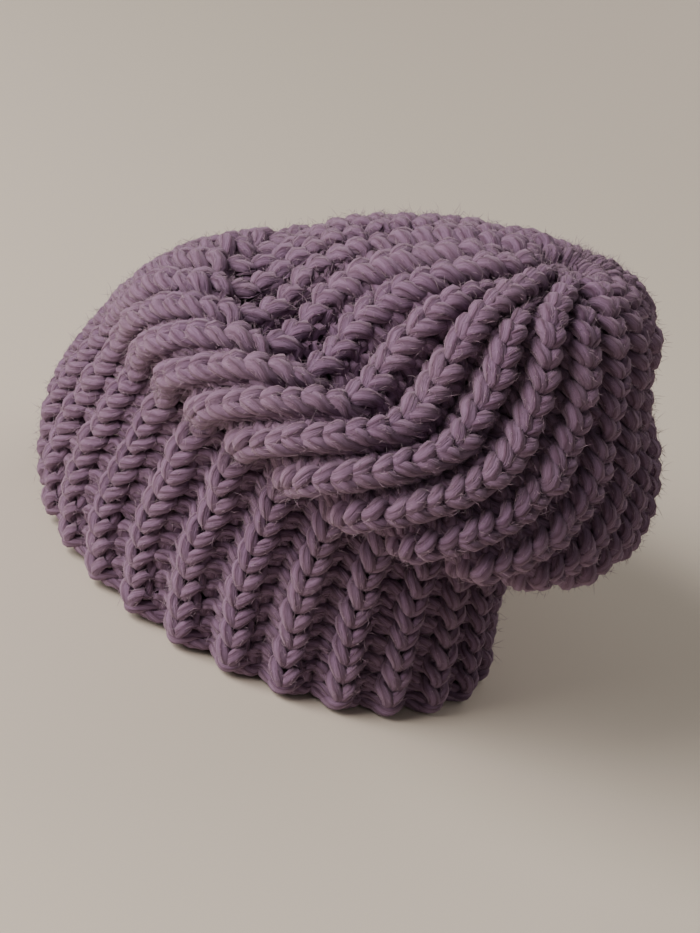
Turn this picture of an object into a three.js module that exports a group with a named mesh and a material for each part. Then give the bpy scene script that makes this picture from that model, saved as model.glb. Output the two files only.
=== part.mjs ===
// A slouchy beanie: one tube of chunky ribbed knitting, drawn shut at the crown.
// It stands on its flat rim with the loose top folded over towards the back.
// Millimetres, +Z up. As worn, the front is -Y, the back +Y and the left side +X.
// The origin is the centre of the rim's opening, in the plane of the rim.

import * as THREE from 'three';

// The rim, measured outside the ribs
const RIM_WIDTH = 176;
const RIM_LENGTH = 208;

// The knitting
const RIB_COUNT = 27;          // raised V columns, each with a recessed column beside it
const RIB_OFFSET = 0.2;        // where the first rib stands, in ribs from the middle of the front
const FABRIC = 7;              // thickness of the knitted wall
const COLUMNS_PER_RIB = 4;     // ridge, flank, groove, flank
const INNER_TOP = 0.935;       // the inside closes a wall's thickness below the gather
const GROOVE_LIMIT = 0.4;      // a groove is no deeper than this share of the ribs' spacing

// The wall's course from the rim to the gather, one row for each section.
// share      how far along the wall, 0 at the rim and 1 at the gather
// halfWidth  half the section's width from side to side
// frontY, backY           where the section crosses the middle plane
// frontZ, sideZ, backZ    its height at the front, at the sides and at the back
// turnFront, turnBack     how far the ribs have twisted round there, in degrees
// turnNear   a further twist that fades out to both sides of LOCAL_TWIST, in degrees
// skew, lift              the left side's shift back and up; the right side's is opposite
// lean       how far the whole section leans to the left
// groove     how deep the grooves between the ribs are
const SECTION_COLUMNS = [
  'share', 'halfWidth', 'frontY', 'backY', 'frontZ', 'sideZ', 'backZ',
  'turnFront', 'turnBack', 'turnNear', 'skew', 'lift', 'lean', 'groove',
];
const SECTIONS = [
  // the snug band
  [0.000, RIM_WIDTH / 2, -RIM_LENGTH / 2, RIM_LENGTH / 2, 0, 0, 0, 0, 0, 0, 0, 0, 0, 4.0],
  [0.060, 89, -115, 99, 16, 17, 17, 0, 0, 0, 3, 0, 0, 4.5],
  [0.130, 90, -118, 94, 37, 38, 40, 0, 0, 0, 5, 0, 0, 4.5],
  [0.210, 90, -113, 91, 57, 58, 64, 0, 0, 0, 7, 1, 0, 4.5],
  // the crease under the slouch, deep at the back and gone at the front
  [0.290, 90, -103, 92, 75, 81, 86, 0, 0, 0, 7, 3, 0, 4.0],
  [0.355, 100, -94, 110, 88, 88, 75, 0, -6, 0, 6, 5, 0, 4.5],
  // the fold that hangs over the band
  [0.415, 112, -84, 126, 100, 97, 75, 0, -10, 0, 6, 6, 0, 4.5],
  [0.480, 115, -74, 135, 111, 110, 87, 0, -6, 0, 6, 7, 0, 4.5],
  [0.560, 107, -61, 133, 123, 124, 106, 0, 5, 3, 7, 7, 0, 5.0],
  // the valley across the top, where the ribs bend sharply
  [0.610, 97, -53, 129, 128, 128, 120, -1, 11, 5, 9, 7, 0, 6.0],
  [0.645, 90, -46, 125, 129, 130, 130, -3, 14, 5, 11, 5, 0, 6.0],
  [0.685, 82, -38, 120, 134, 137, 142, -7, 15, 3, 12, 4, -2, 6.0],
  // the bag that rises behind it, up to the gather
  [0.735, 76, -22, 116, 149, 147, 155, -11, 15, -8, 11, 4, -4, 6.0],
  [0.795, 69, 5, 110, 163, 159, 167, -13, 13, -24, 9, 5, -4, 5.5],
  [0.865, 53, 34, 101, 175, 172, 178, -14, 11, -33, 5, 5, -3, 4.5],
  [0.935, 30, 56, 91, 182, 181, 182, -14, 10, -36, 2, 2, -2, 3.0],
  [1.000, 5, 71, 77, 181, 181, 181, -13, 10, -36, 0, 0, 0, 0.5],
].map((row) => Object.fromEntries(SECTION_COLUMNS.map((name, i) => [name, row[i]])));

// The left side's own twist: where it is strongest and how far it reaches, in degrees
const LOCAL_TWIST = { angle: 42, towardsFront: 80, towardsBack: 40 };

// Where the mesh has its rows of points, closer together round the crease and the valley
const SHARES = [
  0, 0.03, 0.07, 0.12, 0.17, 0.215, 0.255, 0.285, 0.31, 0.335, 0.36, 0.385, 0.41,
  0.44, 0.48, 0.52, 0.56, 0.59, 0.62, 0.645, 0.67, 0.7, 0.74, 0.79, 0.84, 0.89, 0.935, 1,
];

const FULL_TURN = 2 * Math.PI;
const radians = THREE.MathUtils.degToRad;

// Akima's curve through the sections' values: it doesn't overshoot where a fold turns sharply.
// A value whose slope hardly changes counts as a straight line.
const STRAIGHT = 1e-9;

function throughSections(name, share) {
  const x = SECTIONS.map((section) => section.share);
  const y = SECTIONS.map((section) => section[name]);
  const last = x.length - 1;
  const slope = [];
  for (let i = 0; i < last; i += 1) slope[i + 2] = (y[i + 1] - y[i]) / (x[i + 1] - x[i]);
  slope[1] = 2 * slope[2] - slope[3];
  slope[0] = 2 * slope[1] - slope[2];
  slope[last + 2] = 2 * slope[last + 1] - slope[last];
  slope[last + 3] = 2 * slope[last + 2] - slope[last + 1];
  const tangent = (i) => {
    const before = Math.abs(slope[i + 1] - slope[i]);
    const after = Math.abs(slope[i + 3] - slope[i + 2]);
    if (before + after < STRAIGHT) return (slope[i + 1] + slope[i + 2]) / 2;
    return (after * slope[i + 1] + before * slope[i + 2]) / (before + after);
  };
  let i = 0;
  while (i < last - 1 && share > x[i + 1]) i += 1;
  const span = x[i + 1] - x[i];
  const t = (share - x[i]) / span;
  return y[i] * (1 - 3 * t * t + 2 * t ** 3)
    + tangent(i) * span * t * (1 - t) ** 2
    + y[i + 1] * t * t * (3 - 2 * t)
    - tangent(i + 1) * span * t * t * (1 - t);
}

function sectionAt(share) {
  return Object.fromEntries(
    SECTION_COLUMNS.map((name) => [name, throughSections(name, share)]),
  );
}

// How much of the back's twist the ribs have at an angle: it swells smoothly on the left
// and runs out evenly on the right, which keeps the ribs there apart
function shareOfBackTurn(angle) {
  const around = THREE.MathUtils.euclideanModulo(angle, FULL_TURN);
  if (around <= Math.PI) return (1 - Math.cos(around)) / 2;
  return 2 - around / Math.PI;
}

// How much of the left side's own twist the ribs have at an angle
function shareOfNearTurn(angle) {
  const away = angle - radians(LOCAL_TWIST.angle);
  const beside = THREE.MathUtils.euclideanModulo(away + Math.PI, FULL_TURN) - Math.PI;
  const reach = beside > 0 ? LOCAL_TWIST.towardsBack : LOCAL_TWIST.towardsFront;
  return Math.exp(-((beside / radians(reach)) ** 2));
}

// A point on the tips of the ribs, at an angle round the cap: 0 in front, a quarter turn at +X
function ribTip(angle, section) {
  const backShare = shareOfBackTurn(angle);
  const turned = angle
    + radians(section.turnFront) * (1 - backShare)
    + radians(section.turnBack) * backShare
    + radians(section.turnNear) * shareOfNearTurn(angle);
  const middleY = (section.frontY + section.backY) / 2;
  const halfLength = (section.backY - section.frontY) / 2;
  const endsZ = (section.frontZ + section.backZ) / 2;
  const cos = Math.cos(turned);
  const sin = Math.sin(turned);
  return new THREE.Vector3(
    section.halfWidth * sin + section.lean,
    middleY - halfLength * cos + section.skew * sin,
    (endsZ + section.sideZ) / 2
      + (section.frontZ - section.backZ) / 2 * cos
      + (endsZ - section.sideZ) / 2 * Math.cos(2 * turned)
      + section.lift * sin,
  );
}

// Angles that space the ribs evenly along the rim, which is an ellipse: its length is added up
// in small steps, and the angles are found where it reaches each column's share
const STEPS = 3600;

function evenAngles(count) {
  const length = [0];
  for (let i = 1; i <= STEPS; i += 1) {
    const angle = (i - 0.5) / STEPS * FULL_TURN;
    const step = Math.hypot(RIM_WIDTH / 2 * Math.cos(angle), RIM_LENGTH / 2 * Math.sin(angle));
    length[i] = length[i - 1] + step;
  }
  const angles = [];
  for (let k = 0; k < count; k += 1) {
    const target = (k / count + RIB_OFFSET / RIB_COUNT) * length[STEPS];
    let i = 0;
    while (length[i + 1] < target) i += 1;
    angles[k] = (i + (target - length[i]) / (length[i + 1] - length[i])) / STEPS * FULL_TURN;
  }
  return angles;
}

const COLUMNS = RIB_COUNT * COLUMNS_PER_RIB;
const ANGLES = evenAngles(COLUMNS);

// The wall's outward direction, square to the two ways along the fabric. It is level at the
// rim, so that the rim's lower face is flat.
const REACH = 0.01;            // step to either side, in radians round and in shares along

function outward(angle, share) {
  const low = Math.max(share - REACH, 0);
  const high = Math.min(share + REACH, 1);
  const section = sectionAt(share);
  const round = ribTip(angle + REACH, section).sub(ribTip(angle - REACH, section));
  const along = ribTip(angle, sectionAt(high)).sub(ribTip(angle, sectionAt(low)));
  const normal = round.cross(along);
  if (share === 0) normal.z = 0;
  return normal.normalize();
}

// One ring of points round the wall, set in from the ribs' tips by the depth plus the grooves
function ring(share, depth) {
  const section = sectionAt(share);
  const tips = ANGLES.map((angle) => ribTip(angle, section));
  return tips.map((tip, k) => {
    const before = tips.at(k - 1);
    const after = tips[(k + 1) % COLUMNS];
    const ribSpacing = before.distanceTo(after) / 2 * COLUMNS_PER_RIB;
    const groove = Math.min(section.groove, GROOVE_LIMIT * ribSpacing);
    const inGroove = (1 - Math.cos(k / COLUMNS_PER_RIB * FULL_TURN)) / 2;
    return tip.clone().addScaledVector(outward(ANGLES[k], share), -(depth + inGroove * groove));
  });
}

function centreOf(points) {
  const sum = new THREE.Vector3();
  points.forEach((point) => sum.add(point));
  return sum.divideScalar(points.length);
}

// The knitted wall: up the outside to the gather, closed there, and back down the inside
function knitBody() {
  const outside = SHARES.map((share) => ring(share, 0));
  const inside = SHARES.filter((share) => share <= INNER_TOP).map((share) => ring(share, FABRIC));
  const position = [];
  const index = [];
  const addPoint = (point) => {
    position.push(point.x, point.y, point.z);
    return position.length / 3 - 1;
  };
  const addRing = (points) => points.map(addPoint);
  const joinRings = (lower, upper) => {
    for (let k = 0; k < COLUMNS; k += 1) {
      const next = (k + 1) % COLUMNS;
      index.push(lower[k], lower[next], upper[next], lower[k], upper[next], upper[k]);
    }
  };
  const closeRing = (points, centre, facingUp) => {
    for (let k = 0; k < COLUMNS; k += 1) {
      const next = (k + 1) % COLUMNS;
      if (facingUp) index.push(points[k], points[next], centre);
      else index.push(points[next], points[k], centre);
    }
  };
  const outer = outside.map(addRing);
  const inner = inside.map(addRing);
  for (let i = 0; i < outer.length - 1; i += 1) joinRings(outer[i], outer[i + 1]);
  for (let i = inner.length - 1; i > 0; i -= 1) joinRings(inner[i], inner[i - 1]);
  joinRings(inner[0], outer[0]);
  closeRing(outer.at(-1), addPoint(centreOf(outside.at(-1))), true);
  closeRing(inner.at(-1), addPoint(centreOf(inside.at(-1))), false);
  const geometry = new THREE.BufferGeometry();
  geometry.setAttribute('position', new THREE.Float32BufferAttribute(position, 3));
  geometry.setIndex(index);
  geometry.computeVertexNormals();
  return geometry;
}

const wool = new THREE.MeshStandardMaterial({ color: '#7d6a78', roughness: 0.95, metalness: 0 });

const beanie = new THREE.Group();
const body = new THREE.Mesh(knitBody(), wool);
body.name = 'knit_body';
beanie.add(body);

export default beanie;
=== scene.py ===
# %% [markdown]
# # A slouchy beanie in chunky rib
# The beanie is one tube of thick wool yarn, knitted round and round in 1x1 rib: a column of
# V stitches that stands proud, then a column that sinks back, 27 times round. The loose top
# falls over the band and is drawn shut at the crown. This lesson builds it stitch by stitch,
# because at this gauge every loop of yarn can be seen, and a bump map would look painted on.

# %% Load the frame that the part was measured in
import math

import bpy
import numpy as np
from mathutils import Matrix, Vector


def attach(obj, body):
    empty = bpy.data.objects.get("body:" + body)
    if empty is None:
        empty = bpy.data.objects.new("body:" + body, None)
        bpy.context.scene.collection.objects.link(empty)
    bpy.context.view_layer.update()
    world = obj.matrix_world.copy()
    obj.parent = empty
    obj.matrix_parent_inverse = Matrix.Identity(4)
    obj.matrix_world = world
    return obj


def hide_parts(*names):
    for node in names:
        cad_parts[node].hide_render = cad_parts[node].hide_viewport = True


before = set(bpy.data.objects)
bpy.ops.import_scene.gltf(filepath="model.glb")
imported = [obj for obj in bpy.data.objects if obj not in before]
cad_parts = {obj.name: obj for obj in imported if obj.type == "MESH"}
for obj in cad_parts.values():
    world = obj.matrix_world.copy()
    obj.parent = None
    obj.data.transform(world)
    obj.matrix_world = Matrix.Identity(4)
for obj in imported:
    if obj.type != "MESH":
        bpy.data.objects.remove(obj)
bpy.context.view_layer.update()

# %% [markdown]
# ## The form of the fabric
# The fabric is a tube whose cross-sections change from the rim to the gather: a snug band, a
# crease, a fold that hangs over the band, a valley and the bag behind it. It could be sculpted
# by hand or draped by a cloth simulation, but then the ribs wouldn't run where the photograph
# shows them. Here each row of a short table is one section, a smooth curve runs through the
# rows, and the ribs are lines on that surface, so they follow the fold and twist by themselves.

# %% The sections, in millimetres and degrees
MM = 0.001                     # metres in a millimetre
RIM_WIDTH = 176                # over the tips of the ribs, from side to side
RIM_LENGTH = 208               # and from front to back
RIBS = 27
RIB_OFFSET = 0.2               # where the first rib stands, in ribs from the middle of the front

# share      how far along the wall, 0 at the rim and 1 at the gather
# half_width half the section's width from side to side
# front_y, back_y          where the section crosses the middle plane
# front_z, side_z, back_z  its height at the front, at the sides and at the back
# turn_front, turn_back    how far the ribs have twisted round there
# turn_near  the left side's own twist, which fades out to both sides
# skew, lift               the left side's shift back and up; the right side's is opposite
# lean       how far the whole section leans to the left
# groove     how deep the grooves between the ribs are
SECTION_COLUMNS = (
    "share", "half_width", "front_y", "back_y", "front_z", "side_z", "back_z",
    "turn_front", "turn_back", "turn_near", "skew", "lift", "lean", "groove",
)
SECTIONS = np.array([
    # the snug band
    (0.000, RIM_WIDTH / 2, -RIM_LENGTH / 2, RIM_LENGTH / 2, 0, 0, 0, 0, 0, 0, 0, 0, 0, 4.0),
    (0.060, 89, -115, 99, 16, 17, 17, 0, 0, 0, 3, 0, 0, 4.5),
    (0.130, 90, -118, 94, 37, 38, 40, 0, 0, 0, 5, 0, 0, 4.5),
    (0.210, 90, -113, 91, 57, 58, 64, 0, 0, 0, 7, 1, 0, 4.5),
    # the crease under the slouch, deep at the back and gone at the front
    (0.290, 90, -103, 92, 75, 81, 86, 0, 0, 0, 7, 3, 0, 4.0),
    (0.355, 100, -94, 110, 88, 88, 75, 0, -6, 0, 6, 5, 0, 4.5),
    # the fold that hangs over the band
    (0.415, 112, -84, 126, 100, 97, 75, 0, -10, 0, 6, 6, 0, 4.5),
    (0.480, 115, -74, 135, 111, 110, 87, 0, -6, 0, 6, 7, 0, 4.5),
    (0.560, 107, -61, 133, 123, 124, 106, 0, 5, 3, 7, 7, 0, 5.0),
    # the valley across the top, where the ribs bend sharply
    (0.610, 97, -53, 129, 128, 128, 120, -1, 11, 5, 9, 7, 0, 6.0),
    (0.645, 90, -46, 125, 129, 130, 130, -3, 14, 5, 11, 5, 0, 6.0),
    (0.685, 82, -38, 120, 134, 137, 142, -7, 15, 3, 12, 4, -2, 6.0),
    # the bag that rises behind it, up to the gather
    (0.735, 76, -22, 116, 149, 147, 155, -11, 15, -8, 11, 4, -4, 6.0),
    (0.795, 69, 5, 110, 163, 159, 167, -13, 13, -24, 9, 5, -4, 5.5),
    (0.865, 53, 34, 101, 175, 172, 178, -14, 11, -33, 5, 5, -3, 4.5),
    (0.935, 30, 56, 91, 182, 181, 182, -14, 10, -36, 2, 2, -2, 3.0),
    (1.000, 5, 71, 77, 181, 181, 181, -13, 10, -36, 0, 0, 0, 0.5),
])
print(len(SECTIONS), "sections with", len(SECTION_COLUMNS), "columns")

# %% A smooth curve through the table's rows
TINY = 1e-9                    # a length or a change of slope below this counts as none


def akima_tangents(x, y):
    """Tangents of Akima's curve, which doesn't overshoot where a fold turns sharply."""
    inner = np.diff(y, axis=0) / np.diff(x)[:, None]
    first = 2 * inner[0] - inner[1]
    last = 2 * inner[-1] - inner[-2]
    slope = np.vstack([2 * first - inner[0], first, inner, last, 2 * last - inner[-1]])
    change = np.abs(np.diff(slope, axis=0))
    before, after = change[:-2], change[2:]
    total = before + after
    plain = (slope[1:-2] + slope[2:-1]) / 2
    weighted = (after * slope[1:-2] + before * slope[2:-1]) / np.where(total < TINY, 1, total)
    return np.where(total < TINY, plain, weighted)


SECTION_SHARES = SECTIONS[:, 0]
SECTION_TANGENTS = akima_tangents(SECTION_SHARES, SECTIONS[:, 1:])


def section_at(share):
    """The section's values at any share of the wall, by column name."""
    row = np.clip(np.searchsorted(SECTION_SHARES, share) - 1, 0, len(SECTION_SHARES) - 2)
    span = SECTION_SHARES[row + 1] - SECTION_SHARES[row]
    t = ((share - SECTION_SHARES[row]) / span)[..., None]
    low, high = SECTIONS[row, 1:], SECTIONS[row + 1, 1:]
    low_tangent = SECTION_TANGENTS[row] * span[..., None]
    high_tangent = SECTION_TANGENTS[row + 1] * span[..., None]
    values = (
        low * (1 - 3 * t**2 + 2 * t**3) + low_tangent * t * (1 - t) ** 2
        + high * t**2 * (3 - 2 * t) - high_tangent * t**2 * (1 - t)
    )
    return dict(zip(SECTION_COLUMNS[1:], np.moveaxis(values, -1, 0)))


halfway = section_at(np.array(0.5))
print("halfway up the wall it is", round(2 * float(halfway["half_width"])), "mm wide")

# %% The surface that the tips of the ribs lie on
FULL_TURN = 2 * math.pi
NEAR_ANGLE = 42                # the left side's own twist is strongest here, in degrees
NEAR_REACH = (80, 40)          # how far it reaches towards the front, and towards the back


def rib_tips(angle, share):
    """Points in millimetres at an angle round the beanie: 0 is in front, a quarter turn is +X."""
    s = section_at(share)
    around = np.mod(angle, FULL_TURN)
    left = (1 - np.cos(around)) / 2
    back_share = np.where(around <= math.pi, left, 2 - around / math.pi)
    beside = np.mod(angle - math.radians(NEAR_ANGLE) + math.pi, FULL_TURN) - math.pi
    reach = np.radians(np.where(beside > 0, NEAR_REACH[1], NEAR_REACH[0]))
    near_share = np.exp(-((beside / reach) ** 2))
    turned = angle + np.radians(
        s["turn_front"] * (1 - back_share) + s["turn_back"] * back_share
        + s["turn_near"] * near_share
    )
    cos, sin = np.cos(turned), np.sin(turned)
    ends_z = (s["front_z"] + s["back_z"]) / 2
    return np.stack([
        s["half_width"] * sin + s["lean"],
        (s["front_y"] + s["back_y"]) / 2 - (s["back_y"] - s["front_y"]) / 2 * cos + s["skew"] * sin,
        (ends_z + s["side_z"]) / 2
        + (s["front_z"] - s["back_z"]) / 2 * cos
        + (ends_z - s["side_z"]) / 2 * np.cos(2 * turned)
        + s["lift"] * sin,
    ], axis=-1)


GATHER_SAMPLES = 60            # places round the gather, to find its middle
gather_angles = np.linspace(0, FULL_TURN, GATHER_SAMPLES, endpoint=False)
gather_middle = rib_tips(gather_angles, np.ones(GATHER_SAMPLES)).mean(axis=0)
print("middle of the gather:", gather_middle.round(1), "mm")

# %% The direction that points out of the fabric
PROBE = 0.01                   # step to either side, in radians round and in shares along


def unit(vectors):
    """Vectors of length one."""
    return vectors / np.maximum(np.linalg.norm(vectors, axis=-1, keepdims=True), TINY)


def outward(angle, share):
    """The direction square to the fabric."""
    low, high = np.maximum(share - PROBE, 0), np.minimum(share + PROBE, 1)
    around = rib_tips(angle + PROBE, share) - rib_tips(angle - PROBE, share)
    along = rib_tips(angle, high) - rib_tips(angle, low)
    return unit(np.cross(around, along))


print("outward in the middle of the front:", outward(np.array(0.0), np.array(0.1)).round(2))

# %% [markdown]
# ## Even ribs and even stitches
# A knitter's stitches are all alike: each rib takes the same stretch of the rim, and each
# round climbs its rib by the same height. The table's angles and shares aren't even in that
# way, because the rim is an ellipse, and the fold makes the fabric longer at the back. Even
# places could be solved for one by one. It is simpler to walk along the rim and up the ribs in
# small steps, add up the lengths once, and look every place up in those sums.

# %% Ribs spaced evenly along the rim, which is an ellipse
STEPS = 3600                   # round the rim
step_angles = (np.arange(STEPS) + 0.5) / STEPS * FULL_TURN
step_lengths = np.hypot(RIM_WIDTH / 2 * np.cos(step_angles), RIM_LENGTH / 2 * np.sin(step_angles))
step_lengths = step_lengths * FULL_TURN / STEPS
rim_length = np.concatenate([[0], np.cumsum(step_lengths)])


def angle_of(wale):
    """The angle of a column of stitches: even numbers are V columns, odd ones lie between."""
    turns = (np.asarray(wale) / 2 + RIB_OFFSET) / RIBS
    whole = np.floor(turns)
    within = np.interp((turns - whole) * rim_length[-1], rim_length, np.arange(STEPS + 1))
    return (whole + within / STEPS) * FULL_TURN


WALES = 2 * RIBS
print("rim:", round(rim_length[-1]), "mm round,", WALES, "columns of stitches")

# %% Heights measured along each rib, so that all its stitches are equally tall
ANGLE_STEPS = 360
HEIGHT_STEPS = 500             # up each rib
grid_angles = np.arange(ANGLE_STEPS)[:, None] / ANGLE_STEPS * FULL_TURN
grid_shares = np.linspace(0, 1, HEIGHT_STEPS + 1)[None, :]
grid_points = rib_tips(grid_angles, np.broadcast_to(grid_shares, (ANGLE_STEPS, HEIGHT_STEPS + 1)))
grid_climbs = np.linalg.norm(np.diff(grid_points, axis=1), axis=2)
grid_heights = np.hstack([np.zeros((ANGLE_STEPS, 1)), np.cumsum(grid_climbs, axis=1)])
rib_lengths = grid_heights[:, -1]
even_shares = np.stack([
    np.interp(grid_shares[0] * heights[-1], heights, grid_shares[0]) for heights in grid_heights
])


def rib_length(angle):
    """Millimetres from the rim to the gather along the rib at an angle."""
    place = np.mod(angle / FULL_TURN, 1) * ANGLE_STEPS
    return np.interp(place, np.arange(ANGLE_STEPS + 1), np.append(rib_lengths, rib_lengths[0]))


def share_at(angle, height):
    """The share of the wall at a height in millimetres, measured along the rib."""
    place = np.mod(angle / FULL_TURN, 1) * ANGLE_STEPS
    i = np.floor(place).astype(int) % ANGLE_STEPS
    u = place - np.floor(place)
    level = np.clip(height / rib_length(angle), 0, 1) * HEIGHT_STEPS
    j = np.minimum(np.floor(level).astype(int), HEIGHT_STEPS - 1)
    v = level - j
    after = (i + 1) % ANGLE_STEPS
    here = even_shares[i, j] * (1 - v) + even_shares[i, j + 1] * v
    beside = even_shares[after, j] * (1 - v) + even_shares[after, j + 1] * v
    return here * (1 - u) + beside * u


print("ribs are", round(rib_lengths.min()), "to", round(rib_lengths.max()), "mm long")

# %% [markdown]
# ## One stitch
# A knitted loop comes out of the loop below it from behind, leans outward as one leg of a V,
# passes behind the feet of the next loop at its top, and comes down the other leg. A purl
# loop is the same thing seen from behind, so the two take turns in 1x1 rib and the yarn
# crosses the fabric between them. A ready-made pattern laid on as a picture or as displacement
# can't cross itself like that. So each loop is drawn with a few points: across in
# columns, up in rows, and out of the fabric in units that a later cell gives a size. Two
# loops are drawn, because the fabric changes: where it is stretched, as round the band, the
# legs stand steep and the sunken columns open up, and where it is slack, the legs lie flat and
# the V columns close over the rest. A later table says how much of each a place takes.

# %% The yarn's path through one V stitch, stretched and slack
STRETCHED_LOOP = np.array([
    # across, up, out, held square to the rib
    (-0.50, -0.44, -0.05, 0),  # the link from the stitch before
    (-0.14, -0.42, -0.15, 1),  # the foot of the left leg
    (-0.05, -0.18, 0.55, 1),
    (-0.14, 0.10, 1.00, 1),    # the leg, out in front
    (-0.31, 0.42, 0.92, 1),
    (-0.42, 0.70, 0.35, 1),
    (-0.28, 0.93, -0.35, 1),   # the top, behind the next loop's feet
    (0.00, 1.00, -0.50, 1),
])
SLACK_LOOP = np.array([
    (-0.50, -0.44, -0.35, 0),
    (-0.15, -0.38, -0.35, 1),
    (-0.09, -0.16, 0.50, 1),
    (-0.27, 0.04, 1.00, 1),
    (-0.53, 0.24, 0.88, 1),
    (-0.64, 0.52, 0.15, 1),
    (-0.36, 0.82, -0.50, 1),
    (0.00, 0.90, -0.65, 1),
])
print("half a V stitch is", len(STRETCHED_LOOP), "points")

# %% The sunken stitch beside it, which is the same loop seen from behind
SUNKEN_SWING = 0.7             # the slack sunken loops swing less far out of the fabric
STRETCHED_SUNKEN_LOOP = np.array([
    (-0.50, -0.44, 0.00, 0),
    (-0.12, -0.41, 0.25, 1),   # the foot, pulled straight: the lower rung of the ladder
    (-0.10, -0.16, -0.45, 1),
    (-0.28, 0.10, -0.70, 1),   # the leg, hidden behind, where it closes the rib's flank
    (-0.42, 0.38, -0.60, 1),
    (-0.47, 0.66, -0.05, 1),
    (-0.31, 0.86, 0.45, 1),    # the top of the loop: the upper rung
    (0.00, 0.88, 0.55, 1),
])
SLACK_SUNKEN_LOOP = SLACK_LOOP * (1, 1, -SUNKEN_SWING, 1)


def both_sides(points):
    """The loop's right half mirrors its left half."""
    right = points[1:-1][::-1] * (-1, 1, 1, 1)
    return np.vstack([points, right])


def stitch_pair(v_half, sunken_half):
    """A V stitch, then a sunken stitch one column on."""
    return np.vstack([both_sides(v_half), both_sides(sunken_half) + (1, 0, 0, 0)])


pairs = [
    stitch_pair(STRETCHED_LOOP, STRETCHED_SUNKEN_LOOP),
    stitch_pair(SLACK_LOOP, SLACK_SUNKEN_LOOP),
]
print("points in a pair of stitches:", len(pairs[0]))

# %% The paths as steps, closer together where the yarn is in view
ROWS = 36                      # courses from the rim to the gather
COLUMN_WIDTH = rim_length[-1] / WALES
ROW_HEIGHT = 8.0               # millimetres, the common height of a stitch
CROSSING = 3.6                 # how far the yarn swings out of the middle of the fabric, in mm
# which keeps the whole model inside its limit of triangles
STEPS_PER_PAIR = 40            # steps along the yarn of one pair of stitches
FINE = 40                      # trial steps between two listed points
HIDDEN_WEIGHT = 0.65           # steps on hidden yarn, for one on yarn in view
PERIOD = np.array([2.0, 0.0, 0.0, 0.0])  # a pair of stitches repeats after two columns


def closed_spline(points, period, fine):
    """Catmull-Rom curve through points which repeat after a shift by the period."""
    before = np.vstack([points[-1:] - period, points[:-1]])
    after = np.vstack([points[1:], points[:1] + period])
    after_next = np.vstack([points[2:], points[:2] + period])
    t = np.linspace(0, 1, fine, endpoint=False)[None, :, None]
    p0, p1, p2, p3 = (p[:, None, :] for p in (before, points, after, after_next))
    curve = 0.5 * (
        2 * p1 + (p2 - p0) * t + (2 * p0 - 5 * p1 + 4 * p2 - p3) * t**2
        + (3 * p1 - p0 - 3 * p2 + p3) * t**3
    )
    return curve.reshape(-1, points.shape[1])


trials = [closed_spline(pair, PERIOD, FINE) for pair in pairs]
trials = [np.vstack([trial, trial[:1] + PERIOD]) for trial in trials]
middle = (trials[0] + trials[1])[:, :3] / 2
stretch = np.linalg.norm(np.diff(middle * (COLUMN_WIDTH, ROW_HEIGHT, CROSSING), axis=0), axis=1)
run = np.concatenate([[0], np.cumsum(stretch * np.where(middle[1:, 2] > 0, 1, HIDDEN_WEIGHT))])
places = np.linspace(0, run[-1], STEPS_PER_PAIR, endpoint=False)
stretched_path, slack_path = (
    np.stack([np.interp(places, run, trial[:, i]) for i in range(4)], axis=1) for trial in trials
)
step_column = np.where(middle[:, 0] < 0.5, 0, 1)[np.searchsorted(run, places)]
print("yarn in a pair of stitches:", round(stretch.sum(), 1), "mm")

# %% [markdown]
# ## The courses
# One course is a round of 54 stitches. The real yarn climbs in a spiral, but a closed ring for
# each round looks the same and keeps every mesh closed. The path's steps are laid on the
# surface, then a ring of points round each step makes the yarn. Small seeded differences in
# height, width and thickness keep the stitches from looking stamped.

# %% Where the fabric is slack, and the stitches' small differences
SLACKNESS = np.array([
    # share of the wall, slackness from 0 for the stretched loop to 1 for the slack, yarn radius
    (0.00, -0.10, 2.15),       # the band, stretched most at the rim, which thins the yarn
    (0.12, 0.00, 2.20),
    (0.26, 0.05, 2.30),
    (0.36, 0.08, 2.40),        # the fold
    (0.56, 0.08, 2.50),
    (0.64, 0.30, 2.70),        # the valley
    (0.76, 0.28, 2.80),        # the bag
    (1.00, 0.28, 2.75),
])
SLACK_SHARES, SLACK_AMOUNTS, YARN_RADII = SLACKNESS.T
SEED = 27
AGREEMENT = 0.5                # how much a stitch takes after the ones beside it
randoms = np.random.default_rng(SEED)


def smooth_noise(amount):
    """Seeded differences, one for each stitch, that also agree a little with their neighbours."""
    rough = randoms.normal(size=(ROWS, WALES))
    near = (np.roll(rough, 1, axis=1) + np.roll(rough, -1, axis=1)) / 2
    return amount * (rough + AGREEMENT * near)


stitch_lift = smooth_noise(0.05)     # up, in rows
stitch_swell = smooth_noise(0.055)   # thicker, as a share of the radius
stitch_shift = smooth_noise(0.04)    # aside, in columns
stitch_out = smooth_noise(0.09)      # outward, in swings
print("stitches:", stitch_lift.size, "moved up or down by", stitch_lift.std().round(3), "rows")

# %% How the columns lie on the surface, course by course
BELOW_COURSES = 8.5            # millimetres under the first course, for its feet and the edge
ABOVE_COURSES = 4.0            # millimetres over the last course, for the gather


def course_height(angle, rows):
    """Millimetres along the rib: the same number of rows on every rib."""
    return BELOW_COURSES + rows / ROWS * (rib_length(angle) - BELOW_COURSES - ABOVE_COURSES)


def fabric_point(wale, rows):
    """The surface's point at a place among the columns and rows."""
    angle = angle_of(wale)
    return rib_tips(angle, share_at(angle, course_height(angle, rows)))


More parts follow.
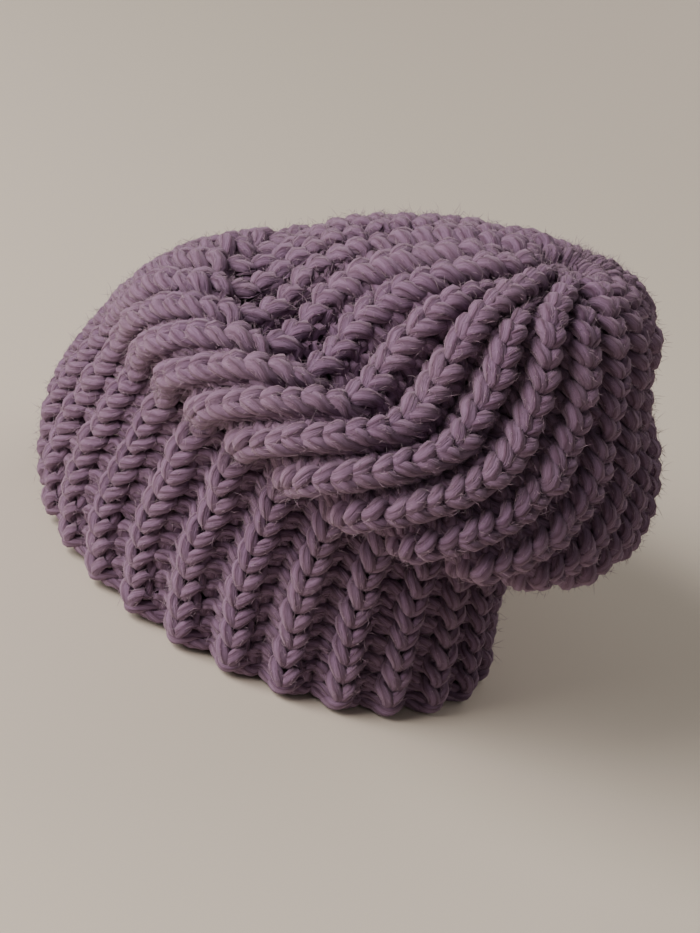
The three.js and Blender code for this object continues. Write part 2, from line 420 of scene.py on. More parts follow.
def column_frames(row):
    """For each column: the spacing of the ribs, and how far a course climbs to the next column."""
    wale = np.arange(WALES)
    low, middle, high = row + 0.2, row + 0.5, row + 0.8
    up_rib = unit(fabric_point(wale, high) - fabric_point(wale, low))
    to_next = fabric_point(wale + 0.5, middle) - fabric_point(wale - 0.5, middle)
    climb = (to_next * up_rib).sum(axis=1)
    across = to_next - climb[:, None] * up_rib
    return 2 * np.linalg.norm(across, axis=1), climb


def round_columns(values, wale):
    """Values of the columns at any place among them, all the way round."""
    return np.interp(np.mod(wale, WALES), np.arange(WALES + 1), np.append(values, values[0]))


frames_of_rows = [column_frames(row) for row in range(ROWS)]
all_spacings = np.array([spacings for spacings, _ in frames_of_rows])
print("ribs stand", all_spacings.min().round(1), "to", all_spacings.max().round(1), "mm apart")

# %% [markdown]
# ## Ribs that share the room
# In the valley, at the inside of the bend, and near the gather, the ribs have less room than
# their yarn needs. Real ribs don't shrink there: one stays on top and the next sinks behind it.
# A cloth simulation with contact could find that, but it is slow and hard to steer. Here every
# other rib widens and the one between narrows and sinks, by how much the place is squeezed.

# %% Where ribs are squeezed, every other one takes the room and its neighbour sinks
WIDE_RIB = 15                  # ribs spaced this far apart or more are all alike, in mm
NARROW_RIB = 6                 # and here one is far wider than the next
UNEVEN = 0.9                   # by this share of a rib's width at most
PAIRS_OF_RIBS = 13             # 27 ribs make 13 pairs, and one rib changes sides by degrees
FIRST_WIDE = 20                # the column where the wide ribs match the pairs best
NARROW_SINK = 8.0              # how far a narrow rib sinks, in mm


def uneven_ribs(spacing, wale):
    """The columns' new places, how wide each rib is now, and how far it sinks."""
    amount = np.interp(spacing, (NARROW_RIB, WIDE_RIB), (UNEVEN, 0))
    turn = FULL_TURN * PAIRS_OF_RIBS * (wale - FIRST_WIDE) / WALES
    moved = wale + amount * WALES / (FULL_TURN * PAIRS_OF_RIBS) * np.sin(turn)
    width = 1 + amount * np.cos(turn)
    return moved, width, NARROW_SINK * amount * (1 - np.cos(turn)) / 2


print("ribs with less room than", WIDE_RIB, "mm:", f"{(all_spacings < WIDE_RIB).mean():.0%}")

# %% [markdown]
# ## From flat paths to yarn on the surface
# The drawn paths are flat: so many columns across, so many rows up, so far out. To lay one is
# to look up the surface's point and its outward direction at each step, and to sink the step
# from there. A Surface Deform modifier could bend a flat knitted swatch in the same way, but
# it would squash the yarn with it. Here the yarn's radius is worked out at each place, from
# the room that it has, so it stays round: full on the ribs, thin where it is pulled, and
# spread where it fills the fabric from behind, so that next to no light comes through it.

# %% Lay yarn on the surface
BULGE = 0.14                   # the soft yarn is that much thicker where nothing holds it down
ROOM = 0.25                    # the yarn's radius, as a share of a narrow rib's width
THINNEST = 0.5                 # and it is never thinner than this share of its own
SUNKEN_YARN = 0.8              # the sunken loops are pulled thinner
ROOMY = 18                     # but fill out where ribs stand wider apart than this, in mm
FULLEST = 1.6                  # by this much at most
BACK_YARN = 2.9                # hidden yarn spreads out to this radius, and fills what lies behind
BACK_SWING = 0.5               # yarn this far behind the middle of the fabric is fully spread
DIMPLE_REACH = 16              # millimetres from the gather where the ribs begin to dive into it
DIMPLE = 6.0                   # and how far they dive
OUTER_GAP = 0.2                # the yarn stays this far inside the tips' surface
SUNK = 1.25                    # how deep the sunken columns lie, as a share of the groove
GROOVE_LIMIT = 0.4             # and a groove is never deeper than this share of its rib's width


def lay(wale, height, out, spacing, yarn, swell=0.0):
    """Centre, radius and outward direction of yarn at places on the fabric, in millimetres."""
    moved, width, dip = uneven_ribs(spacing, wale)
    angle = angle_of(moved)
    share = share_at(angle, height)
    room = spacing * width
    tight = np.clip(ROOM * room / yarn, THINNEST, 1)
    sunken = ((1 - np.cos(math.pi * wale)) / 2) ** 2
    filled = np.clip(room / ROOMY, 1, FULLEST)
    thinned = 1 + (SUNKEN_YARN * filled - 1) * sunken
    radius = yarn * tight * thinned * (1 + BULGE * out) * (1 + swell)
    behind = np.clip(-out / BACK_SWING, 0, 1)
    radius = radius + behind * np.maximum(BACK_YARN * tight * filled - radius, 0)
    sunk = SUNK * np.minimum(section_at(share)["groove"], GROOVE_LIMIT * room) * sunken
    to_gather = np.clip((rib_length(angle) - height) / DIMPLE_REACH, 0, 1)
    dive = DIMPLE * (1 - to_gather) ** 2
    front = OUTER_GAP + yarn * tight * (1 + BULGE)
    depth = front + CROSSING * np.sqrt(tight) * (1 - out) + sunk + dip + dive
    normal = outward(angle, share)
    centre = rib_tips(angle, share) - normal * depth[..., None]
    return centre.reshape(-1, 3), radius.reshape(-1), normal.reshape(-1, 3)


TRIED_HEIGHT = 50.0            # millimetres up the middle of the first rib, on the band
_, tried_radius, _ = lay(np.zeros(1), np.full(1, TRIED_HEIGHT), 1.0, 2 * COLUMN_WIDTH, YARN_RADII[0])
print("yarn on the band's ribs is", round(2 * float(tried_radius[0]), 1), "mm thick")

# %% The paths of all the courses
STEEP_RIB = 12                 # legs stand steep again where ribs are squeezed to this, in mm
SLACK_RIB = 18                 # and are as slack as the table says from here on


def course_path(row):
    """Centre, radius and outward direction of the yarn through one course."""
    spacings, climbs = frames_of_rows[row]
    first_of_pair = 2 * np.arange(RIBS)[:, None]
    column = first_of_pair + step_column
    column_angles = angle_of(np.arange(WALES))
    share = share_at(column_angles, course_height(column_angles, row + 0.5))
    between = first_of_pair + stretched_path[:, 0]
    slackness = np.interp(share, SLACK_SHARES, SLACK_AMOUNTS)
    slackness = slackness * np.interp(spacings, (STEEP_RIB, SLACK_RIB), (0, 1))
    slack = round_columns(slackness, between)[..., None]
    yarn = round_columns(np.interp(share, SLACK_SHARES, YARN_RADII), between)
    path = stretched_path * (1 - slack) + slack_path * slack
    across, up, out, held = np.moveaxis(path, -1, 0)
    wale = first_of_pair + across
    aside = wale - column
    rows = row + up + stitch_lift[row, column]
    height = course_height(angle_of(wale), rows) - aside * climbs[column] * held
    wale = wale + stitch_shift[row, column] * held
    out = out + stitch_out[row, column] * held
    spacing = round_columns(spacings, wale)
    return lay(wale, height, out, spacing, yarn, stitch_swell[row, column])


courses = [course_path(row) for row in range(ROWS)]
lowest = min((centre[:, 2] - radius).min() for centre, radius, _ in courses)
print("courses:", len(courses), "of", len(courses[0][0]), "steps, down to", lowest.round(1), "mm")

# %% [markdown]
# ## Round yarn along a path
# A tube is a ring of points round each step of its path. A curve with a bevel would make the
# tube too, but without a UV map that closes after a whole number of twists. So the rings are
# made here. The outward direction can't aim them, because the yarn often dives straight in,
# where it would crease. Instead each ring takes its directions from the ring before it, turned
# as little as possible, and the turn left over at the end is spread over the whole path. One
# step in 25 still bends so sharply that the tube pinches a little, and nine out of ten of those
# lie behind the ribs or down in the sunken columns.

# %% Directions across the yarn, carried along it
UP = (0.0, 0.0, 1.0)


def carried_directions(centres):
    """Two directions across each of some closed yarns, carried from step to step."""
    ahead = unit(np.roll(centres, -1, axis=1) - np.roll(centres, 1, axis=1))
    across = np.empty_like(ahead)
    side = np.cross(ahead[:, 0], UP)
    start = unit(side)
    for step in list(range(1, centres.shape[1])) + [0]:
        facing = ahead[:, step]
        side = unit(side - (side * facing).sum(axis=1, keepdims=True) * facing)
        across[:, step] = side
    start_out = np.cross(start, ahead[:, 0])
    left_over = np.arctan2((side * start_out).sum(axis=1), (side * start).sum(axis=1))
    across[:, 0] = start
    out = np.cross(across, ahead)
    steps = np.arange(centres.shape[1]) / centres.shape[1]
    back = (left_over[:, None] * steps)[..., None]
    return (
        across * np.cos(back) - out * np.sin(back),
        out * np.cos(back) + across * np.sin(back),
    )


first_across, _ = carried_directions(courses[0][0][None])
turned = (first_across * np.roll(first_across, -1, axis=1)).sum(axis=-1)
print("half the rings turn less than", round(math.degrees(math.acos(np.median(turned)))), "degrees")

# %% A mesh object from arrays, which is far quicker than adding faces one by one
def mesh_object(name, places, faces, corner_uvs=None):
    """A smooth mesh object from arrays, with every face of one size."""
    mesh = bpy.data.meshes.new(name)
    mesh.vertices.add(len(places))
    mesh.vertices.foreach_set("co", places.astype(np.float32).ravel())
    corners = faces.shape[1]
    mesh.loops.add(faces.size)
    mesh.loops.foreach_set("vertex_index", faces.astype(np.int32).ravel())
    mesh.polygons.add(len(faces))
    mesh.polygons.foreach_set("loop_start", np.arange(0, faces.size, corners, dtype=np.int32))
    mesh.polygons.foreach_set("use_smooth", np.ones(len(faces), dtype=bool))
    if corner_uvs is not None:
        layer = mesh.uv_layers.new(name="yarn")
        layer.uv.foreach_set("vector", corner_uvs.astype(np.float32).ravel())
    mesh.update(calc_edges=True)
    piece = bpy.data.objects.new(name, mesh)
    bpy.context.scene.collection.objects.link(piece)
    return piece


print("meshes before the first yarn:", len(bpy.data.meshes))

# %% Make closed rings of yarn from paths
SIDES = 8                      # of the yarn's section
PLIES = 5                      # strands that are twisted together into the yarn
LAY = 45                       # millimetres of yarn in which they turn once


def closed_yarns(name, paths):
    """One mesh of closed yarns, with a UV map: turns round the yarn, and metres along it."""
    places, faces, corner_uvs = [], [], []
    offset = 0
    all_across, all_out = carried_directions(np.stack([centre for centre, _ in paths]))
    turn = np.arange(SIDES) / SIDES * FULL_TURN
    cos, sin = np.cos(turn)[None, :, None], np.sin(turn)[None, :, None]
    for (centre, radius), across, out in zip(paths, all_across, all_out):
        count = len(centre)
        ring = across[:, None] * cos + out[:, None] * sin
        places.append((centre[:, None] + ring * radius[:, None, None]).reshape(-1, 3))
        step = np.linalg.norm(np.roll(centre, -1, axis=0) - centre, axis=1)
        along = np.concatenate([[0], np.cumsum(step)])
        turns = max(round(along[-1] / LAY), 1)
        along = along * turns * LAY / along[-1] * MM  # a whole number of turns closes the ring
        i, j = np.meshgrid(np.arange(count), np.arange(SIDES), indexing="ij")
        i_next, j_next = (i + 1) % count, (j + 1) % SIDES
        quads = np.stack([
            i * SIDES + j, i * SIDES + j_next, i_next * SIDES + j_next, i_next * SIDES + j,
        ], axis=-1)
        faces.append(quads.reshape(-1, 4) + offset)
        u0, u1 = j / SIDES, (j + 1) / SIDES
        v0, v1 = along[i], along[i + 1]
        corners = np.stack([
            np.stack([u0, v0], -1), np.stack([u1, v0], -1),
            np.stack([u1, v1], -1), np.stack([u0, v1], -1),
        ], axis=2)
        corner_uvs.append(corners.reshape(-1, 2))
        offset += count * SIDES
    return mesh_object(name, np.vstack(places) * MM, np.vstack(faces), np.vstack(corner_uvs))


print("yarn:", PLIES, "strands that turn once in", LAY, "mm")

# %% The courses in five pieces, each under the limit of triangles for one mesh
COURSE_RUNS = {                # the first course, and the one after the last
    "band_courses": (0, 10),
    "crease_courses": (10, 17),
    "fold_courses": (17, 23),
    "valley_courses": (23, 29),
    "crown_courses": (29, ROWS),
}
knit_pieces = []
for name, (first, last) in COURSE_RUNS.items():
    piece = closed_yarns(name, [(centre, radius) for centre, radius, _ in courses[first:last]])
    knit_pieces.append(piece)
    print(name, len(piece.data.polygons) * 2, "triangles")

# %% [markdown]
# ## The cast-on edge
# Knitting starts from a row of loops cast on to the needle. Under the first course they leave
# an edge of two strands that wind round each other. Below each V column they are slack, and
# bunch into a round knob that hangs lowest. Below each sunken column they are pulled thin,
# and cross it as slanted threads, so the rim is a row of small scallops. The real knots could
# be drawn as the loops were, but they are too tight to make out. Two closed yarns that turn
# once round each other on every rib, thick and thin by turns, give knobs and threads alike.

# %% Two strands that wind round each other along the rim
KNOB_RADIUS = 2.4              # of each strand under a V column, in mm
THREAD_RADIUS = 1.5            # and under a sunken column
KNOB_SHARPNESS = 1.3           # how quickly a knob thins out to the threads beside it
EDGE_APART = 1.75              # each strand's distance from the pair's middle, in mm
EDGE_LOW = 5.2                 # height of the pair's middle under a V column
EDGE_HIGH = 7.0                # and under a sunken column
EDGE_STEPS = 16                # for each rib
EDGE_OUT = 0.35                # how far out the pair's middle lies, in swings
THREAD_SINK = 1.6              # how much deeper the threads lie than the sunken loops, in mm
RIM_SPACING = 2 * COLUMN_WIDTH


def edge_strand(phase):
    """Centre and radius of one strand; the other one is half a turn on."""
    wale = np.arange(RIBS * EDGE_STEPS) / EDGE_STEPS * 2
    wind = math.pi * wale + phase
    knob = ((1 + np.cos(math.pi * wale)) / 2) ** KNOB_SHARPNESS
    middle = EDGE_HIGH - (EDGE_HIGH - EDGE_LOW) * knob
    height = middle + EDGE_APART * np.sin(wind)
    centre, _, normal = lay(wale, height, EDGE_OUT, RIM_SPACING, KNOB_RADIUS)
    out = EDGE_APART * np.cos(wind) - THREAD_SINK * (1 - knob)
    radius = THREAD_RADIUS + (KNOB_RADIUS - THREAD_RADIUS) * knob
    return centre + normal * out[:, None], radius


edge = closed_yarns("cast_on_edge", [edge_strand(0), edge_strand(math.pi)])
knit_pieces.append(edge)
print("cast-on edge, lowest:", round(min(v.co.z for v in edge.data.vertices) / MM, 2), "mm")

# %% [markdown]
# ## The gather
# The yarn's end is drawn through the last course's loops and pulled tight, so the ribs meet in
# a dimple. A thread woven through each loop would be truer, but hardly any of it could be
# seen. Rings of yarn inside the last loops stand for it, and they lie lower than the ribs, so
# that only the dimple's floor shows them.

# %% Rings that close the dimple
GATHER_RINGS = (               # radius of the ring, depth below the tips, yarn radius, in mm
    (9.5, 9.0, 2.7),
    (5.5, 8.5, 2.7),
    (2.0, 8.0, 2.4),
)
GATHER_STEPS = 48              # for each ring
WAVES = 5                      # where the thread passes over and under loops
WAVE_WIDTH = 0.12              # in and out, as a share of the ring's radius
WAVE_HEIGHT = 0.8              # up and down, in mm


def gather_ring(radius, depth, yarn):
    """Centre and radius of one wavy ring of yarn."""
    turn = np.arange(GATHER_STEPS) / GATHER_STEPS * FULL_TURN
    wobble = 1 + WAVE_WIDTH * np.sin(WAVES * turn)
    ring = np.stack([
        gather_middle[0] + radius * wobble * np.cos(turn),
        gather_middle[1] + radius * wobble * np.sin(turn),
        gather_middle[2] - depth + WAVE_HEIGHT * np.sin(WAVES * turn),
    ], axis=1)
    return ring, np.full(GATHER_STEPS, yarn)


gather = closed_yarns("gather_thread", [gather_ring(*ring) for ring in GATHER_RINGS])
knit_pieces.append(gather)
print("gather:", len(GATHER_RINGS), "rings,", len(gather.data.polygons) * 2, "triangles")

# %% [markdown]
# ## Loose fibres
# Wool yarn is fuzzy: short ends of fibre stand off it everywhere. They blur every edge, catch
# the light, and are most of what tells the eye that this is wool. A particle system or a
# curves object would draw them, but neither is a mesh, so both are lost when the model is
# exported. Each fibre here is a thin closed sliver of six triangles, pointed at both ends and
# bent in the middle. A real one is 0.02 mm thick, which is too fine to show, so these are
# drawn 0.17 mm thick and far fewer.

# %% Where loose fibres start, and which way they lie
FIBRES = 27000                 # in each of two pieces
FIBRE_SHORTEST = 1.0           # millimetres
FIBRE_LENGTH = 3.2             # the middle one's
FIBRE_LONGEST = 8.0
LENGTH_SPREAD = 0.45           # of the lengths' logarithms, so that a few are much longer
ROOT_SIDE = 80                 # most degrees round the yarn from where it faces outward
ROOT_SLIDE = 0.5               # most millimetres along the yarn from a step of its path
ROOT_DEPTH = 0.92              # the root's place, as a share of the yarn's radius
RISE_LEAST, RISE_MOST = 0.15, 1.0  # how steeply a fibre leaves the yarn; most leave it low
HEADING_SPREAD = 0.3           # disorder in the fibres' directions
BEND_SPREAD = 0.4              # and in how they turn at the bend


def fibre_bends(centre, radius, normal, weight):
    """Root, bend and tip of each fibre on some courses of yarn."""
    one_each, three_each = (FIBRES, 1), (FIBRES, 3)
    chosen = randoms.choice(len(centre), size=FIBRES, p=weight / weight.sum())
    ahead = unit(np.roll(centre, -1, axis=0) - np.roll(centre, 1, axis=0))[chosen]
    across = unit(np.cross(ahead, normal[chosen]))
    side = np.radians(randoms.uniform(-ROOT_SIDE, ROOT_SIDE, FIBRES))[:, None]
    off_yarn = normal[chosen] * np.cos(side) + across * np.sin(side)
    slide = randoms.uniform(-ROOT_SLIDE, ROOT_SLIDE, one_each)
    root = centre[chosen] + ahead * slide + off_yarn * radius[chosen, None] * ROOT_DEPTH
    sense = randoms.choice((-1.0, 1.0), one_each)
    rise = RISE_LEAST + (RISE_MOST - RISE_LEAST) * randoms.uniform(size=one_each) ** 2
    stray = randoms.normal(size=three_each) * HEADING_SPREAD
    heading = unit(ahead * sense + off_yarn * rise + stray)
    length = FIBRE_LENGTH * randoms.lognormal(0, LENGTH_SPREAD, one_each)
    length = np.clip(length, FIBRE_SHORTEST, FIBRE_LONGEST)
    bend = root + heading * length / 2
    turned = unit(heading + randoms.normal(size=three_each) * BEND_SPREAD)
    return root, bend, bend + turned * length / 2


print("fibres:", 2 * FIBRES, "of", FIBRE_SHORTEST, "to", FIBRE_LONGEST, "mm")

# %% Slivers of six triangles: a root, a ring of three at the bend, and a tip
SLIVER_FACES = np.array([(0, 2, 1), (0, 3, 2), (0, 1, 3), (1, 2, 4), (2, 3, 4), (3, 1, 4)])
SLIVER_POINTS = 5
FIBRE_RADIUS = 0.085           # millimetres, at the bend
ASKEW = (0.31, 0.52, 0.79)     # a direction that hardly any fibre shares, to start its ring from
IN_VIEW = 0.2                  # yarn further out than this, in swings, is in view
HIDDEN_FIBRES = 0.06           # fibres on hidden yarn, for one on yarn in view
CLEAR_OF_FLOOR = 9             # no fibre starts lower than this, in mm


def loose_fibres(name, runs):
    """One mesh of the fibres on some courses, more of them where the yarn is in view."""
    centre, radius, normal = (np.concatenate([run[i] for run in runs]) for i in range(3))
    in_view = np.tile(stretched_path[:, 2] > IN_VIEW, RIBS * len(runs))
    step = np.linalg.norm(np.roll(centre, -1, axis=0) - centre, axis=1)
    weight = step * np.where(in_view, 1.0, HIDDEN_FIBRES) * (centre[:, 2] > CLEAR_OF_FLOOR)
    root, bend, tip = fibre_bends(centre, radius, normal, weight)
    side = unit(np.cross(tip - root, ASKEW))
    other = unit(np.cross(tip - root, side))
    ring = [
        bend + FIBRE_RADIUS * (side * math.cos(turn) + other * math.sin(turn))
        for turn in (0, FULL_TURN / 3, 2 * FULL_TURN / 3)
    ]
    places = np.stack([root] + ring + [tip], axis=1)
    faces = SLIVER_FACES[None] + SLIVER_POINTS * np.arange(FIBRES)[:, None, None]
    return mesh_object(name, places.reshape(-1, 3) * MM, faces.reshape(-1, 3))


fibre_pieces = [
    loose_fibres("loose_fibres_low", courses[:ROWS // 2]),
    loose_fibres("loose_fibres_high", courses[ROWS // 2:]),
]
print("fibres:", sum(len(piece.data.polygons) for piece in fibre_pieces), "triangles")

# %% [markdown]
# ## Colours and nodes
# A colour picked from a screen is written in sRGB, and Blender's sockets want linear light, so
# one function turns the first into the second. A material is a tree of nodes. They could be
# placed by hand in the shader editor, and here one small function adds a node, sets it and
# links it, so that each material reads from top to bottom.

# %% One function for colours, one for nodes
def linear(hex_colour):
    """An sRGB hex colour as linear RGBA."""
    parts = [int(hex_colour[i:i + 2], 16) / 255 for i in (1, 3, 5)]
    low_limit = 0.04045
    return tuple(
        part / 12.92 if part <= low_limit else ((part + 0.055) / 1.055) ** 2.4 for part in parts
    ) + (1.0,)


def add(tree, kind, inputs=None, **settings):
    """One node with its settings; inputs holds values, or the sockets that feed it."""
    node = tree.nodes.new(kind)
    for key, value in settings.items():
        setattr(node, key, value)
    for key, value in (inputs or {}).items():
        if isinstance(value, bpy.types.NodeSocket):
            tree.links.new(value, node.inputs[key])
        else:
            node.inputs[key].default_value = value
    return node


def empty_material(name):
    """A new material without nodes, and its tree."""
    material = bpy.data.materials.new(name)
    material.use_nodes = True
    material.node_tree.nodes.clear()
    return material, material.node_tree


print("mid grey #808080 is", round(linear("#808080")[0], 3), "in linear light")

# %% [markdown]
# ## Wool
# The yarn is merino: combed fibres spun into soft strands, and five strands twisted together
# and dyed a dusty mauve. Wool has no gloss, because its fibres scatter light every way. What
# shows is the twist, as slanting strands with lines between them, then fine streaks along
# each strand, then a pale bloom where light grazes the fibres. The UV map runs round the yarn
# and along it, so adding the two gives a place that turns with the strands, and both the bump
# and the colour follow from that. The colour has painted shade: it is darker in the lines
# between strands and in the low streaks, and the streaks also vary the wool's tone. A picture
# of yarn couldn't follow every loop. Wool is keratin, whose index of refraction of 1.55 is
# near the shader's own 1.5, so that one stays.

# %% Where a point lies in the twisted yarn
YARN_RADIUS = 2.6              # millimetres, the common size, which sets the streaks' scale
STREAK_STRETCH = 6             # fibre streaks are this many times longer than wide


def twisted_place(tree):
    """Turns round the yarn, counted along the twist, and a place that closes round the yarn."""
    uv = add(tree, "ShaderNodeUVMap", uv_map="yarn")
    split = add(tree, "ShaderNodeSeparateXYZ", {"Vector": uv.outputs["UV"]})
    turns = add(tree, "ShaderNodeMath", {
        0: split.outputs["Y"], 1: 1 / (LAY * MM), 2: split.outputs["X"],
    }, operation="MULTIPLY_ADD").outputs[0]
    angle = add(tree, "ShaderNodeMath", {0: turns, 1: FULL_TURN}, operation="MULTIPLY").outputs[0]
    cosine = add(tree, "ShaderNodeMath", {0: angle}, operation="COSINE").outputs[0]
    sine = add(tree, "ShaderNodeMath", {0: angle}, operation="SINE").outputs[0]
    round_x = add(tree, "ShaderNodeMath", {0: cosine, 1: YARN_RADIUS}, operation="MULTIPLY")
    round_y = add(tree, "ShaderNodeMath", {0: sine, 1: YARN_RADIUS}, operation="MULTIPLY")
    along = add(tree, "ShaderNodeMath", {
        0: split.outputs["Y"], 1: 1 / MM / STREAK_STRETCH,
    }, operation="MULTIPLY")
    place = add(tree, "ShaderNodeCombineXYZ", {
        "X": round_x.outputs[0], "Y": round_y.outputs[0], "Z": along.outputs[0],
    })
    return turns, place.outputs[0]


print("each of the", PLIES, "strands is", round(FULL_TURN * YARN_RADIUS / PLIES, 1), "mm wide")

# %% Plied wool: its widths and reliefs in millimetres, its colours, and its painted shade
STREAK_WIDTH = 0.55            # real fibre streaks are finer, but wouldn't show
STREAK_NOISE = (0.3, 0.7)      # most of the noise lies between these
STREAK_RELIEF = 0.3            # from the darkest streak up to the palest
STRAND_RELIEF = 0.34           # from the lines between strands up to their tops
DARK_RELIEF, PALE_RELIEF = 0.2, 1.85  # painted shade: the wool is darkest at the first relief and palest at the second, in streak reliefs
GROOVE_PAINTED_SHADE_COLOUR = "#44293f"        # painted shade in the lines between strands, where shade falls
STRAND_COLOUR = "#7f6683"      # the tops of the strands
PATCH = 30                     # about the width of a patch that took the dye a little lighter
PATCH_NOISE = (0.35, 0.65)
PATCH_MOST = 0.22              # how far a patch goes towards its own colour
PATCH_COLOUR = "#8f7689"
BLOOM_COLOUR = "#d9c4d2"       # of light that grazes the fibres


def wool_yarn():
    """Plied merino: no gloss, painted shade in the lines between strands, pale bloom at grazing
    light.
    """
    material, tree = empty_material("plied merino wool, dyed dusty mauve")
    turns, place = twisted_place(tree)
    half_waves = add(tree, "ShaderNodeMath", {0: turns, 1: math.pi * PLIES}, operation="MULTIPLY")
    wave = add(tree, "ShaderNodeMath", {0: half_waves.outputs[0]}, operation="SINE")
    strand = add(tree, "ShaderNodeMath", {0: wave.outputs[0]}, operation="ABSOLUTE").outputs[0]
    streak = add(tree, "ShaderNodeTexNoise", {
        "Vector": place, "Scale": 1 / STREAK_WIDTH, "Detail": 3.0, "Roughness": 0.6,
    }).outputs["Fac"]
    streak = add(tree, "ShaderNodeMapRange", {
        "Value": streak, "From Min": STREAK_NOISE[0], "From Max": STREAK_NOISE[1],
    }).outputs["Result"]
    position = add(tree, "ShaderNodeNewGeometry").outputs["Position"]
    patch = add(tree, "ShaderNodeTexNoise", {
        "Vector": position, "Scale": 1 / (PATCH * MM), "Detail": 1.0,
    }).outputs["Fac"]
    relief = add(tree, "ShaderNodeMath", {
        0: strand, 1: STRAND_RELIEF / STREAK_RELIEF, 2: streak,
    }, operation="MULTIPLY_ADD").outputs[0]
    bump = add(tree, "ShaderNodeBump", {"Height": relief, "Distance": STREAK_RELIEF * MM})
    # Painted shade: the lower the relief, the darker the colour, so the lines between strands and
    # the low streaks are painted in shade; the streaks also vary the wool's tone at random
    painted_shade_mix = add(tree, "ShaderNodeMapRange", {
        "Value": relief, "From Min": DARK_RELIEF, "From Max": PALE_RELIEF,
    }).outputs["Result"]
    strand_colour_with_painted_shade = add(tree, "ShaderNodeMix", {
        0: painted_shade_mix, 6: linear(GROOVE_PAINTED_SHADE_COLOUR), 7: linear(STRAND_COLOUR),
    }, data_type="RGBA").outputs[2]
    patch_share = add(tree, "ShaderNodeMapRange", {
        "Value": patch, "From Min": PATCH_NOISE[0], "From Max": PATCH_NOISE[1],
        "To Max": PATCH_MOST,
    }).outputs["Result"]
    dyed = add(tree, "ShaderNodeMix", {
        0: patch_share, 6: strand_colour_with_painted_shade, 7: linear(PATCH_COLOUR),
    }, data_type="RGBA").outputs[2]
    shader = add(tree, "ShaderNodeBsdfPrincipled", {
        "Base Color": dyed, "Normal": bump.outputs["Normal"], "Roughness": 0.92,
        "Specular IOR Level": 0.2, "Sheen Weight": 0.38, "Sheen Roughness": 0.55,
        "Sheen Tint": linear(BLOOM_COLOUR),
    })
    add(tree, "ShaderNodeOutputMaterial", {"Surface": shader.outputs[0]})
    return material


wool = wool_yarn()
print(wool.name, "has", len(wool.node_tree.nodes), "nodes")

# %% [markdown]
# ## Single fibres
# A loose fibre is the same dyed wool, but there is only one layer of it, so light comes
# through and it looks paler than the yarn. It could share the yarn's material, whose strands
# and streaks need a UV map that a sliver has no use for. A plain one of its own is enough: a
# soft bloom, and a paler or darker mauve from one fibre to the next.

# %% Loose fibres: their colours
FIBRE_PATCH = 4                # millimetres, so that neighbours differ
FIBRE_DARK, FIBRE_PALE = "#745b70", "#a68e9f"


def wool_fibre():
    """Single fibres of the same wool: paler than the yarn, as light comes through them."""
    material, tree = empty_material("loose merino fibres, dusty mauve")
    position = add(tree, "ShaderNodeNewGeometry").outputs["Position"]
    patch = add(tree, "ShaderNodeTexNoise", {
        "Vector": position, "Scale": 1 / (FIBRE_PATCH * MM), "Detail": 0.0,
    }).outputs["Fac"]
    colour = add(tree, "ShaderNodeMix", {
        0: patch, 6: linear(FIBRE_DARK), 7: linear(FIBRE_PALE),
    }, data_type="RGBA").outputs[2]
    shader = add(tree, "ShaderNodeBsdfPrincipled", {
        "Base Color": colour, "Roughness": 0.8, "Specular IOR Level": 0.25,
        "Sheen Weight": 0.3, "Sheen Roughness": 0.5,
    })
    add(tree, "ShaderNodeOutputMaterial", {"Surface": shader.outputs[0]})
    return material


fibre = wool_fibre()
print(fibre.name, "has", len(fibre.node_tree.nodes), "nodes")

# %% [markdown]
# ## Dress the pieces
# Each piece gets its material and its place in the frame. Cloth has no joints, so they all
# ride on the one body, and together they stand for the one solid, which is hidden. Joining
# them into one mesh would look the same, but it would pass the limit of triangles for a mesh.

# %% Materials, body and solid
for piece in knit_pieces + fibre_pieces:
    piece.data.materials.append(fibre if piece in fibre_pieces else wool)
    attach(piece, "root")
    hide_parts("knit_body")
print(len(knit_pieces), "pieces of yarn and", len(fibre_pieces), "of loose fibres")

# %% [markdown]
# ## Floor, camera and light
# The beanie stands on matt pale paper. The camera looks at its left side and back from above,
# with the same tilt as the photograph. One large soft window lights it from the upper left,
# so the far right side and the space under the fold fall into shade. A weak reflector
# stands on the far side, so that the views from there aren't black, and a pale sky fills in.
# One small sun would be quicker to set, but its hard shadows would hide the stitches.

# %% The floor
FLOOR_REACH = 8.0              # metres to each side
floor_mesh = bpy.data.meshes.new("floor")
floor_mesh.from_pydata(
    [(x * FLOOR_REACH, y * FLOOR_REACH, 0) for x, y in ((-1, -1), (1, -1), (1, 1), (-1, 1))],
    [], [(0, 1, 2, 3)],
)
floor = bpy.data.objects.new("floor", floor_mesh)
bpy.context.scene.collection.objects.link(floor)
paper = bpy.data.materials.new("matt pale paper")
paper.use_nodes = True
paper_inputs = paper.node_tree.nodes["Principled BSDF"].inputs
paper_inputs["Base Color"].default_value = linear("#d8cfc2")
paper_inputs["Roughness"].default_value = 0.9
floor_mesh.materials.append(paper)
print("floor:", 2 * FLOOR_REACH, "metres wide, at the height of the rim")

# %% The camera
PHOTO_SIZE = (700, 933)        # pixels
RIM_CENTRE_PIXEL = (267.7, 568.3)  # where the middle of the rim lies in the photograph
LENS = 85                      # millimetres
SENSOR = 36                    # millimetres, along the photograph's long side
CAMERA_AZIMUTH = 125           # degrees round from the front, towards the left side and the back
CAMERA_ELEVATION = 28.7        # degrees up
CAMERA_ROLL = 20.6             # degrees that the picture is turned
CAMERA_DISTANCE = 0.888        # metres from the middle of the rim


def direction(azimuth, elevation):
    """Towards an azimuth and elevation in degrees, 0 in front of the beanie and 90 at +X."""
    a, e = math.radians(azimuth), math.radians(elevation)
    return Vector((math.sin(a) * math.cos(e), -math.cos(a) * math.cos(e), math.sin(e)))


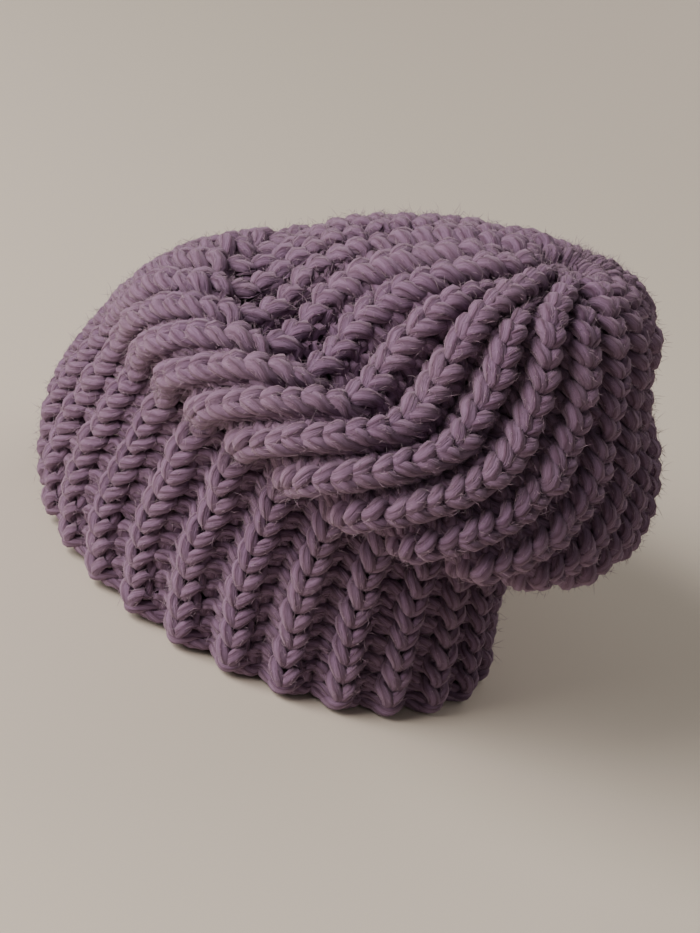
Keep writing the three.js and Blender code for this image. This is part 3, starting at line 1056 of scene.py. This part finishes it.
def photo_camera():
    """A camera that sees the middle of the rim at its pixel in the photograph."""
    towards = direction(CAMERA_AZIMUTH, CAMERA_ELEVATION)
    ahead = -towards
    right = ahead.cross(Vector((0, 0, 1))).normalized()
    down = ahead.cross(right)
    roll = math.radians(CAMERA_ROLL)
    rolled_right = math.cos(roll) * right - math.sin(roll) * down
    rolled_down = math.sin(roll) * right + math.cos(roll) * down
    focal = LENS / SENSOR * max(PHOTO_SIZE)
    seen = Vector((
        (RIM_CENTRE_PIXEL[0] - PHOTO_SIZE[0] / 2) / focal,
        (RIM_CENTRE_PIXEL[1] - PHOTO_SIZE[1] / 2) / focal,
        1.0,
    )).normalized()
    level = Matrix((rolled_right, rolled_down, ahead))
    aimed = Vector((0, 0, 1)).rotation_difference(seen).to_matrix() @ level
    camera_data = bpy.data.cameras.new("camera")
    camera_data.lens = LENS
    camera_data.sensor_width = SENSOR
    camera = bpy.data.objects.new("camera", camera_data)
    axes = Matrix((aimed[0], -aimed[1], -aimed[2])).transposed()
    camera.matrix_world = Matrix.Translation(towards * CAMERA_DISTANCE) @ axes.to_4x4()
    bpy.context.scene.collection.objects.link(camera)
    bpy.context.scene.camera = camera
    return camera


camera = photo_camera()
print("camera stands at", [round(v, 3) for v in camera.location], "metres")

# %% The lights and the sky
LIGHTS = (
    # name, azimuth and elevation in degrees, distance and size in metres, watts, colour
    ("window", 64, 34, 1.8, 1.2, 54, "#fff6ee"),
    ("reflector", 275, 35, 2.2, 2.0, 20, "#fbf1ea"),
)
SKY_COLOUR = "#d9d6d0"
SKY_STRENGTH = 0.22


def soft_light(name, azimuth, elevation, distance, size, watts, colour):
    """A square area light that faces the beanie."""
    data = bpy.data.lights.new(name, "AREA")
    data.size = size
    data.energy = watts
    data.color = linear(colour)[:3]
    lamp = bpy.data.objects.new(name, data)
    lamp.location = direction(azimuth, elevation) * distance
    lamp.rotation_mode = "QUATERNION"
    lamp.rotation_quaternion = lamp.location.to_track_quat("Z", "Y")
    bpy.context.scene.collection.objects.link(lamp)


for light in LIGHTS:
    soft_light(*light)
world = bpy.data.worlds.new("studio")
bpy.context.scene.world = world
world.use_nodes = True
sky_inputs = world.node_tree.nodes["Background"].inputs
sky_inputs["Color"].default_value = linear(SKY_COLOUR)
sky_inputs["Strength"].default_value = SKY_STRENGTH
print(len(LIGHTS), "soft lights and a sky")
